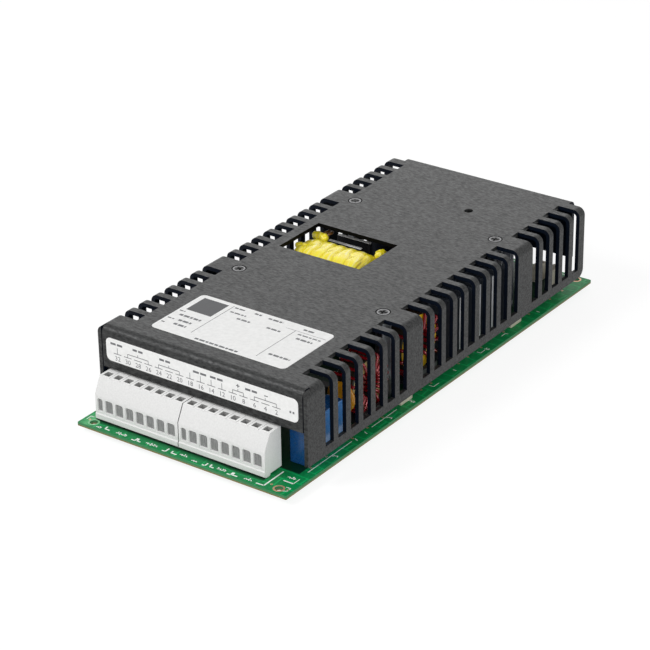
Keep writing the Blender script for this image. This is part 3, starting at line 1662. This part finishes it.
@dataclass
class CircuitBoard:
    """Printed board with its pads, screen print and solder joints."""

    copies: CopyTool
    hole_x: float = 44.5
    hole_y: float = 106.8
    hole_r: float = 1.6
    pad_r: float = 2.35
    print_w: float = 0.62
    side_w: float = 0.32
    lift: float = 0.015
    side_x: float = 44.0
    pad_slope: float = 0.05
    via: tuple[float, float, float, float] = (0.55, 0.5, 0.22, 0.2)
    via_x: float = 45.2
    tick: tuple[tuple[Pair, Pair, float], ...] = (
        ((-0.55, 0.0), (0.55, 0.0), 0.46),
        ((0.36, 0.0), (0.36, 1.0), 0.42),
    )
    tick_pitch: float = 1.05
    tick_turn: float = 170.0
    solder_turn: float = 30.0
    strokes: tuple[tuple[Pair, ...], ...] = (
        ((-37.8, -106.5), (-37.5, -108.4), (-35.3, -108.4)),
        ((-24.0, -109.0), (-22.2, -109.0), (-22.2, -107.0)),
        ((-21.6, -107.0), (-21.3, -108.8), (-19.7, -108.8)),
        ((-9.0, -109.0), (-7.4, -109.0), (-7.4, -106.5)),
        ((-4.9, -107.2), (-4.9, -108.6), (-2.2, -108.6)),
        ((10.2, -109.0), (11.6, -109.0), (11.6, -107.0)),
        ((13.4, -106.9), (13.6, -108.6), (15.4, -108.6)),
        ((22.0, -109.0), (23.6, -109.0), (23.6, -107.0)),
        ((24.2, -107.0), (24.2, -108.7), (26.6, -108.7)),
        ((35.1, -108.4), (38.6, -108.2), (38.6, -95.9)),
        ((-48.6, -106.3), (-48.6, -103.6), (-47.0, -103.6)),
        ((46.4, -91.5), (46.4, -63.1)),
        ((46.3, -49.8), (46.3, -32.7)),
        ((46.0, -60.6), (47.8, -61.4)),
        ((46.0, -54.2), (47.8, -55.0)),
        ((45.6, -9.0), (47.8, -9.0), (47.8, -5.2)),
        ((46.2, 7.4), (47.8, 7.4)),
        ((45.8, 25.8), (47.6, 25.8), (47.6, 29.0)),
        ((46.6, 43.2), (46.6, 46.4), (47.9, 46.4)),
        ((46.4, 71.0), (48.0, 71.0)),
        ((-46.9, -90.0), (-46.9, -40.0)),
        ((-46.9, -18.0), (-46.9, 46.0)),
        ((-46.9, 64.0), (-46.9, 96.0)),
        ((-40.0, 108.3), (-12.0, 108.3)),
        ((4.0, 108.3), (40.0, 108.3)),
        ((42.4, -101.2), (46.9, -101.2), (46.9, -97.2)),
        ((46.2, -104.6), (48.2, -104.6), (48.2, -106.8), (46.6, -107.6)),
    )
    letters: tuple[tuple[float, float, int], ...] = (
        (-40.6, -108.7, 2), (-31.6, -108.2, 5), (-16.6, -107.9, 5), (-0.4, -107.5, 3),
        (6.0, -108.5, 2), (17.2, -108.0, 4), (30.4, -108.0, 3), (43.2, -98.2, 3),
        (47.5, -75.6, 2), (47.5, -39.6, 2), (46.4, -24.0, 3), (47.4, 30.0, 2),
    )

    def board(self) -> None:
        """Copies the board, with mask on its faces and laminate on its edges."""
        shape = copied_mesh("board")
        mesh = bpy.data.meshes.new("circuit_board")
        shape.to_mesh(mesh)
        shape.free()
        mesh.materials.append(MASK.material())
        piece = link("circuit_board", mesh)
        repaint(piece, LAMINATE, lambda c, n: abs(n.z) < LEANING)
        settle(piece, Slot.BOARD, "board")

    def pads(self) -> None:
        """Rings the mounting holes with copper on both faces, one under mask, and sets the vias."""
        low, high = (corner.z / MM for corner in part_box("board"))
        ring = Sketch()
        r0, r1 = self.hole_r + 0.02, self.pad_r
        over, under = high + self.lift, low - self.lift
        edge = r1 - self.pad_slope
        section = [(r1, high), (edge, over), (r0, over), (r0, under), (edge, under), (r1, low)]
        ring.loft(lathe(section, 36))
        pattern = ring.piece("pad_pattern", COPPER, solid=False)
        spots = [(sx * self.hole_x, sy * self.hole_y, 0.0) for sx in (1, -1) for sy in (1, -1)]
        settle(self.copies.spread("mounting_pads", COPPER, pattern, spots[:3]), Slot.COPPER)
        pattern = ring.piece("pad_pattern", MASKED_PAD, solid=False)
        settle(self.copies.spread("masked_pad", MASKED_PAD, pattern, spots[3:]), Slot.BOARD)
        dot = Sketch()
        heights = (0.0, self.lift, self.lift, 0.0)
        dot.loft(lathe(list(zip(self.via, heights)), 14))
        pattern = dot.piece("via_pattern", COPPER, solid=False)
        # Uneven rows beside the two walls, and three vias by the front corners.
        vias = [(self.via_x, -88.0 + 9.0 * k + (k % 3), high) for k in range(21) if k % 4 != 2]
        vias += [(x, -105.9, high) for x in (40.4, 47.9, -47.3)]
        vias += [(-self.via_x, -84.0 + 11.0 * k + (k % 2), high) for k in range(17)]
        settle(self.copies.spread("via_pads", COPPER, pattern, vias), Slot.COPPER)

    def marks(self) -> None:
        """Prints outlines and tick marks on the top."""
        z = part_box("board")[1].z / MM + self.lift
        lines = Sketch()
        for stroke in self.strokes:
            for start, end in zip(stroke, stroke[1:]):
                beside = min(abs(start[0]), abs(end[0])) > self.side_x
                lines.bar(start, end, self.side_w if beside else self.print_w, z)
        mesh = lines.mesh("screen_lines", SCREEN, solid=False)
        settle(link("screen_lines", mesh), Slot.SCREEN_PRINT)
        tick = Sketch()
        for bar in self.tick:
            tick.bar(*bar, 0.0)
        pattern = tick.piece("tick_pattern", SCREEN, solid=False)
        pitch = self.tick_pitch
        spots = [(x + pitch * k, y, z) for x, y, count in self.letters for k in range(count)]
        piece = self.copies.spread("screen_ticks", SCREEN, pattern, spots, self.tick_turn)
        settle(piece, Slot.SCREEN_PRINT)

    def solder(self) -> None:
        """Sets a solder cone under every lead."""
        boxes = solids("solder_joints")
        tall = max(high.z - low.z for low, high in boxes)
        wide = max(high.x - low.x for low, high in boxes) / 2
        profile = [
            (wide, 0.0), (wide * 0.98, -0.06), (wide * 0.62, -tall * 0.35),
            (wide * 0.4, -tall * 0.7), (wide * 0.32, -tall * 0.95), (0.0, -tall),
        ]
        cone = Sketch()
        cone.loft(lathe(profile, 10))
        pattern = cone.piece("solder_pattern", SOLDER, solid=False)
        pattern.data.flip_normals()
        spots = tops(boxes)
        piece = self.copies.spread("solder_cones", SOLDER, pattern, spots, self.solder_turn)
        settle(piece, Slot.TINNED, "solder_joints")

    def build(self) -> None:
        """Builds the board."""
        self.board()
        self.pads()
        self.marks()
        self.solder()


@dataclass
class Transformer:
    """Ferrite core, bobbin and the winding wrapped in yellow tape, with its varnished leads."""

    wires: WireTool
    middle: Pair = (-17.6, 16.65)
    half_l: float = 16.4
    half_w: float = 10.65
    corner: float = 7.4
    tube_w: float = 7.5
    tube_h: float = 8.0
    band: float = 5.5
    step: float = 0.75
    slope: float = 2.4
    around: int = 44
    columns: int = 150
    layers: int = 8
    roll_out: float = 0.35
    roll_in: float = 0.6
    roll_mark: float = 0.55
    end_mark: float = 0.3
    core_edge: float = 0.4
    bobbin_edge: float = 0.15
    lump_steps: int = 30
    lump_sides: int = 28
    lump_band: float = 1.9
    lead_r: float = 0.55
    lead_steps: int = 40
    bundles: tuple[tuple[Point, Point, float], ...] = (
        ((-35.2, 27.9, 34.5), (-31.2, 27.5, 34.5), 2.1),
        ((-2.35, 26.6, 34.3), (-2.35, 27.7, 34.3), 2.35),
        ((-35.0, 14.9, 35.0), (-32.5, 15.3, 35.0), 1.6),
    )
    leads: tuple[tuple[Point, ...], ...] = (
        (
            (-31.2, 28.6, 35.0), (-29.6, 30.4, 35.7), (-30.6, 33.0, 35.2), (-34.6, 36.2, 32.4),
            (-36.8, 37.4, 28.0), (-37.4, 37.6, 14.0), (-37.0, 37.2, 4.1),
        ),
        (
            (-33.4, 29.2, 35.0), (-31.9, 31.4, 35.6), (-33.0, 33.8, 34.8), (-37.2, 36.4, 31.0),
            (-38.9, 36.8, 24.0), (-39.2, 36.8, 12.0), (-38.8, 36.4, 4.1),
        ),
        (
            (-2.0, 29.2, 34.2), (-1.2, 31.2, 34.0), (2.6, 31.8, 32.6), (6.4, 31.0, 29.6),
            (7.4, 29.4, 20.0), (6.9, 28.0, 8.0),
        ),
    )

    def core(self) -> None:
        """Copies the ground core halves and the bobbin."""
        dress("transformer_core", "ferrite_core", FERRITE, self.core_edge)
        dress("transformer_bobbin", "coil_bobbin", PHENOLIC, self.bobbin_edge)

    @staticmethod
    def ridge(phase: float, at: float, wide: float) -> float:
        """Gives a smooth ridge of height 1 at one phase of a turn."""
        return math.exp(-(((phase - at) / wide) ** 2))

    def skin(self, share: float, turn: float) -> Pair:
        """Shapes the tape at one place of the winding.

        Args:
            share: Place along the winding, from 0 to 1.
            turn: Place round it, from 0 to 1.

        Returns:
            Depth under the outer turn in millimetres, and how much of a turn's edge shows.
        """
        # The turns run askew by two bands, and their edges wander.
        wave = 0.1 * math.sin(math.tau * 2 * turn + 9 * share)
        wave += 0.05 * math.sin(math.tau * 5 * turn + 23 * share)
        phase = (share * 2 * self.half_l / self.band - 2 * turn + wave) % 1.0
        # Each turn climbs onto the one before and stands up like a pillow, short of its edge.
        pillow = math.sin(math.pi * min(1.0, phase / 0.9)) ** 0.6 if phase < 0.9 else 0.0
        rise = 0.45 * phase + 0.55 * pillow
        # Both ends round off, and the last tenth runs down to the core in rolls.
        over = max(0.0, share - 0.9) * 10
        ends = 0.9 * (2 * share - 1) ** 8 + self.slope * over**1.5
        ends += 0.15 * abs(math.sin(3 * math.pi * over))
        crease = 0.05 * math.sin(math.tau * 7 * turn + 40 * share)
        # Pale edges come and go round the winding; seams and rolls are darker.
        patchy = 0.6 + 0.4 * math.sin(math.tau * 3 * turn + 17 * share)
        edge = 0.6 * self.ridge(phase, 0.72, 0.07) + 0.3 * self.ridge(phase, 0.3, 0.05)
        sway = 2 * math.sin(4 * math.pi * turn)
        rolls = max(0.0, math.sin(7 * math.pi * over + sway)) if over > 0 else 0.0
        seam = 0.35 * self.ridge(phase, 0.95, 0.04)
        return self.step * (1 - rise) + ends + crease, edge * patchy - seam - 0.5 * rolls

    def winding(self) -> None:
        """Wraps the coil: turns of tape that overlap, and rolled layers at both ends."""
        low, high = (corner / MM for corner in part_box("transformer_winding"))
        x0, y = self.middle[0] - self.half_l, self.middle[1]
        z = (low.z + high.z) / 2
        loop = rounded_loop(self.half_w, (high.z - low.z) / 2, self.corner, 10, self.around // 4)
        n = len(loop)
        rings, wrap = [], []
        for k in range(self.columns + 1):
            share = k / self.columns
            ring = []
            for i, (u, v) in enumerate(loop):
                inset, mark = self.skin(share, i / n)
                size = 1 - inset / math.hypot(u, v)
                ring.append((x0 + 2 * self.half_l * share, y + u * size, z + v * size))
                wrap.append(mark)
            rings.append(ring)
        coil = Sketch()
        coil.loft(rings)
        for end, sign in ((0, 1.0), (-1, -1.0)):
            caps = [rings[end]]
            wrap.extend([self.end_mark] * n)
            for k in range(1, 2 * self.layers + 1):
                t = k / (2 * self.layers)
                dx = sign * ((self.roll_out if k % 2 else 0.0) + self.roll_in * t)
                ring = []
                for px, py, pz in rings[end]:
                    u, v = self.fit(py - y, pz - z)
                    ring.append(
                        (px + dx, y + (py - y) * (1 - t) + t * u, z + (pz - z) * (1 - t) + t * v)
                    )
                caps.append(ring)
                wrap.extend([self.roll_mark if k % 2 else 0.0] * n)
            coil.loft(caps)
        self.tape("taped_winding", coil, wrap, "transformer_winding")

    def fit(self, u: float, v: float) -> Pair:
        """Finds the point of the tube's opening that lies under a point of the skin."""
        scale = min(self.tube_w / max(abs(u), 1e-6), self.tube_h / max(abs(v), 1e-6))
        return (u * scale, v * scale)

    def tape(self, name: str, sketch: Sketch, wrap: list[float], *nodes: str) -> None:
        """Makes one taped piece, with its edges marked for the finish.

        Args:
            name: Name of the piece.
            sketch: Its points and faces.
            wrap: How much of a turn's edge shows at each point.
            nodes: Solids that it stands for.
        """
        mesh = sketch.mesh(name, TAPE, solid=False)
        mark = mesh.attributes.new("wrap", "FLOAT", "POINT")
        mark.data.foreach_set("value", wrap)
        shape = bmesh.new()
        shape.from_mesh(mesh)
        bmesh.ops.remove_doubles(shape, verts=shape.verts, dist=JOIN)
        bmesh.ops.recalc_face_normals(shape, faces=shape.faces)
        shape.to_mesh(mesh)
        shape.free()
        settle(link(name, mesh), Slot.TAPE, *nodes, crease=55.0)

    def lumps(self) -> None:
        """Wraps the lead exits and the tape's loose end as short bundles with round ends."""
        lumps = Sketch()
        marks: list[float] = []
        steps, sides = self.lump_steps, self.lump_sides
        for start, end, r in self.bundles:
            axis = Vector(end) - Vector(start)
            span = axis.length
            axis.normalize()
            across = axis.cross(Vector((0, 0, 1))).normalized()
            up = across.cross(axis)
            rings = []
            for k in range(steps + 1):
                along = -r * math.cos(math.pi * k / steps) + span * k / steps
                over = max(0.0, -along, along - span)
                radius = math.sqrt(max(0.0, r * r - over * over)) if k not in (0, steps) else 0.0
                centre = Vector(start) + axis * along
                ring = []
                for i in range(sides):
                    a = 2 * math.pi * i / sides
                    # Turns of tape like those of the winding, with dents pressed in by hand.
                    phase = (along / self.lump_band + i / sides + 0.12 * math.sin(3 * a)) % 1.0
                    dent = 0.09 * math.sin(3 * a + 1.7 * along)
                    dent += 0.06 * math.sin(5 * a - 2.9 * along + 1.0)
                    pillow = math.sin(math.pi * phase)
                    size = radius * (0.8 + 0.12 * pillow**0.6 + dent * 0.55)
                    point = centre + across * size * math.cos(a) + up * size * math.sin(a)
                    ring.append(tuple(point))
                    marks.append(max(0.0, pillow - 0.6) * 0.5 - max(0.0, -dent) * 1.4)
                rings.append(ring)
            lumps.loft(rings)
        self.tape("taped_exits", lumps, marks)

    def tails(self) -> None:
        """Leads the varnished wire ends round the core to the bobbin's pins."""
        values = {"Wire": self.lead_r * MM, "Steps": self.lead_steps}
        for number, path in enumerate(self.leads):
            piece = self.wires.run(f"coil_lead_{number}", VARNISH, path, values)
            settle(piece, Slot.WIRE, crease=60.0)

    def build(self) -> None:
        """Builds the transformer."""
        self.core()
        self.winding()
        self.lumps()
        self.tails()


@dataclass
class RingChoke:
    """One coated ring with round turns of enamelled wire; its axis is X."""

    tool: TurnTool
    core: str
    winding: str
    finish: Finish
    wire: float
    turns: int
    bore: float
    flank: Finish | None = None
    rest: float = 40.0
    gap: float = 0.15
    corner: float = 1.2
    sides: int = 64
    flank_from: float = 0.7
    lean: float = 2.0

    def ring(self) -> None:
        """Turns the coated ring, with round edges."""
        low, high = (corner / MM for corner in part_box(self.core))
        middle = (low + high) / 2
        r1 = (high.z - low.z) / 2
        half = (high.x - low.x) / 2
        loop = rounded_loop((r1 - self.bore) / 2, half, self.corner, 6)
        profile = [((r1 + self.bore) / 2 + u, v) for u, v in loop]
        body = Sketch()
        body.loft(lathe([*profile, profile[0]], self.sides))
        mesh = body.mesh(self.core + "_coated", self.finish)
        mesh.transform(Matrix.Translation(middle * MM) @ Matrix.Rotation(math.pi / 2, 4, "Y"))
        piece = link(self.core + "_coated", mesh)
        if self.flank:
            repaint(piece, self.flank, lambda c, n: abs(n.x) > self.flank_from)
        settle(piece, self.finish.slot, self.core)

    def wires(self) -> None:
        """Winds the wire."""
        low, high = (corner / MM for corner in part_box(self.core))
        middle = (low + high) / 2
        r1 = (high.z - low.z) / 2
        step = (360.0 - self.rest) / self.turns
        values = {
            "Span": (high.x - low.x + 2 * self.gap + self.wire) * MM,
            "Depth": (r1 - self.bore + 2 * self.gap + self.wire) * MM,
            "Radius": (r1 + self.bore) / 2 * MM,
            "Wire": self.wire / 2 * MM,
            "Start": math.radians(180 + self.rest / 2 + step / 2),
            "Step": math.radians(step),
            "Lean": math.radians(self.lean),
            "Turns": self.turns,
        }
        name = self.winding + "_turns"
        piece = self.tool.run(name, ENAMEL, [], values)
        piece.data.transform(Matrix.Translation(middle * MM))
        settle(piece, Slot.WIRE, self.winding, crease=60.0)

    def build(self) -> None:
        """Builds the choke."""
        self.ring()
        self.wires()


@dataclass
class CapacitorSet:
    """Blue film box, dipped disc, sleeved cans and small pale boxes."""

    copies: CopyTool
    groove: float = 0.7
    sides: int = 40
    film_edge: float = 0.5
    pale_edge: float = 0.4
    end_edge: float = 0.1
    disc_steps: int = 16
    disc_rim: float = 0.45
    can_turn: float = 40.0

    def boxes(self) -> None:
        """Copies the moulded boxes with round edges."""
        piece = edged_copy("line_capacitor", "blue_line_box", FILM_BOX, self.film_edge)
        repaint(piece, FILM_FLANK, lambda c, n: abs(n.x) > LEANING)
        settle(piece, Slot.FILM, "line_capacitor")
        dress("pale_capacitors", "pale_boxes", IVORY, self.pale_edge)

    def disc(self) -> None:
        """Turns the dipped disc, thinner at its rim."""
        low, high = (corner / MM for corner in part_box("disc_capacitor"))
        middle = (low + high) / 2
        r = (high.z - low.z) / 2
        half = (high.y - low.y) / 2
        profile = []
        for k in range(self.disc_steps + 1):
            a = math.pi * k / self.disc_steps - math.pi / 2
            reach = r * math.cos(a) ** self.disc_rim if 0 < k < self.disc_steps else 0.0
            profile.append((reach, half * math.sin(a)))
        disc = Sketch()
        disc.loft(lathe(profile, 48))
        mesh = disc.mesh("dipped_disc", DIPPED)
        mesh.transform(Matrix.Translation(middle * MM) @ Matrix.Rotation(math.pi / 2, 4, "X"))
        settle(link("dipped_disc", mesh), Slot.DISC, "disc_capacitor")

    def cans(self, node: str) -> None:
        """Sleeves one group of cans, each with a crimp near its foot and a rolled shoulder.

        Args:
            node: Name of the group.
        """
        boxes = solids(node)
        low, high = boxes[0]
        r = (high.x - low.x) / 2
        tall = high.z - low.z
        g = self.groove
        profile = [
            (r - 1.2, 0.0), (r - 0.2, 0.05), (r, 0.4), (r, 1.7),
            (r - g * 0.7, 2.2), (r - g, 2.6), (r - g * 0.7, 3.0), (r, 3.5),
            (r, tall - 1.1), (r - 0.3, tall - 0.35), (r - 0.9, tall),
            (r - 1.35, tall - 0.05), (r - 1.4, tall - 0.5),
        ]
        sleeve = Sketch()
        sleeve.loft(lathe(profile, self.sides))
        mesh = sleeve.mesh(node + "_pattern", SLEEVE, solid=False)
        mark = mesh.attributes.new("turn", "FLOAT", "POINT")
        turns = [i / self.sides for i in range(self.sides)]
        mark.data.foreach_set("value", turns * len(profile))
        pattern = link(node + "_pattern", mesh)
        spots = [((a.x + b.x) / 2, (a.y + b.y) / 2, a.z) for a, b in boxes]
        piece = self.copies.spread(node + "_sleeved", SLEEVE, pattern, spots, self.can_turn)
        settle(piece, Slot.SLEEVE, node)

    def build(self) -> None:
        """Builds all the capacitors."""
        self.boxes()
        self.disc()
        self.cans("input_cans")
        self.cans("output_cans")
        dress("can_ends", "scored_can_ends", CAN_END, self.end_edge)


@dataclass
class PowerStage:
    """Heat sinks, power devices, their screws and leads."""

    edge: float = 0.2
    tip_band: float = 0.1
    top_band: float = 1.1
    rows: tuple[tuple[str, str, Finish, float], ...] = (
        ("power_devices", "switch_packages", PHENOLIC, 0.25),
        ("rectifier", "rectifier_package", PHENOLIC, 0.25),
        ("device_screws", "device_screw_heads", ZINC, 0.15),
        ("lead_wires", "tinned_leads", TINNED, 0.08),
    )

    def build(self) -> None:
        """Copies the hard parts with broken edges and dresses them."""
        sink = edged_copy("heat_sink", "finned_sink", FIN_GREY, self.edge)
        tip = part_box("heat_sink")[1].x / MM - self.tip_band
        repaint(sink, FIN_TIP, lambda c, n: n.x > FACE_ON and c.x > tip)
        settle(sink, Slot.SINK, "heat_sink")
        sink = edged_copy("diode_sink", "folded_sink", EXTRUSION, self.edge)
        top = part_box("diode_sink")[1].z / MM - self.top_band
        repaint(sink, SAW_CUT, lambda c, n: c.z > top)
        settle(sink, Slot.SINK, "diode_sink")
        for row in self.rows:
            dress(*row)


@dataclass
class SmallParts:
    """Fuse, chips, clips, bases, pillars and the screws under the board."""

    wall: float = 0.55
    cap_l: float = 5.2
    glass_in: float = 0.12
    glass_short: float = 0.4
    wire_r: float = 0.18
    wire_short: float = 1.0
    sides: int = 28
    rows: tuple[tuple[str, str, Finish, float], ...] = (
        ("fuse_clips", "fuse_clip_springs", TINNED, 0.08),
        ("control_chips", "chip_packages", PHENOLIC, 0.1),
        ("edge_clips", "edge_clip_mouldings", IVORY, 0.25),
        ("choke_bases", "choke_base_mouldings", PHENOLIC, 0.25),
        ("pillars", "hex_pillars", ZINC, 0.2),
        ("pillar_screws", "pan_head_screws", ZINC, 0.2),
    )

    def fuse(self) -> None:
        """Builds the glass tube with its metal caps and wire."""
        low, high = (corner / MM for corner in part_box("fuse_tube"))
        middle = (low + high) / 2
        size = high - low
        along_x = size.x > size.y
        r = size.z / 2
        half = max(size.x, size.y) / 2
        turn = Matrix.Rotation(math.pi / 2, 4, "Y" if along_x else "X")
        place = Matrix.Translation(middle * MM) @ turn
        outer, inner, end = r - self.glass_in, r - self.wall, half - self.glass_short
        section = [(outer, -end), (outer, end), (inner, end), (inner, -end), (outer, -end)]
        tube = Sketch()
        tube.loft(lathe(section, self.sides))
        mesh = tube.mesh("fuse_glass", GLASS)
        mesh.transform(place)
        settle(link("fuse_glass", mesh), Slot.GLASS, "fuse_tube")
        metal = Sketch()
        foot = half - self.cap_l
        cap = [(0.0, half), (r - 0.4, half), (r, half - 0.3), (r, foot), (r - 0.1, foot)]
        for side in (-1, 1):
            metal.loft(lathe([(radius, side * z) for radius, z in cap], self.sides))
        reach = half - self.wire_short
        metal.loft(lathe([(self.wire_r, -reach), (self.wire_r, reach)], 8))
        mesh = metal.mesh("fuse_caps", ZINC)
        mesh.transform(place)
        settle(link("fuse_caps", mesh), Slot.BRIGHT_STEEL)

    def build(self) -> None:
        """Builds the fuse and dresses the other small parts."""
        self.fuse()
        for row in self.rows:
            dress(*row)


def main() -> None:
    """Builds every sub-assembly in order."""
    logging.basicConfig(level=logging.INFO, format="%(name)s %(message)s")
    Studio().build()
    copies = CopyTool()
    turns = TurnTool()
    wires = WireTool()
    CircuitBoard(copies).build()
    CoverShell(copies).build()
    LabelSet().build()
    TerminalRow(copies).build()
    Transformer(wires).build()
    RingChoke(turns, "choke_core", "choke_winding", BROWN_COAT, 1.3, 20, 6.2, PALE_FACE).build()
    RingChoke(turns, "filter_core", "filter_winding", BROWN_COAT, 1.5, 14, 7.0, RING_COAT).build()
    CapacitorSet(copies).build()
    PowerStage().build()
    SmallParts().build()


if __name__ == "__main__":
    main()
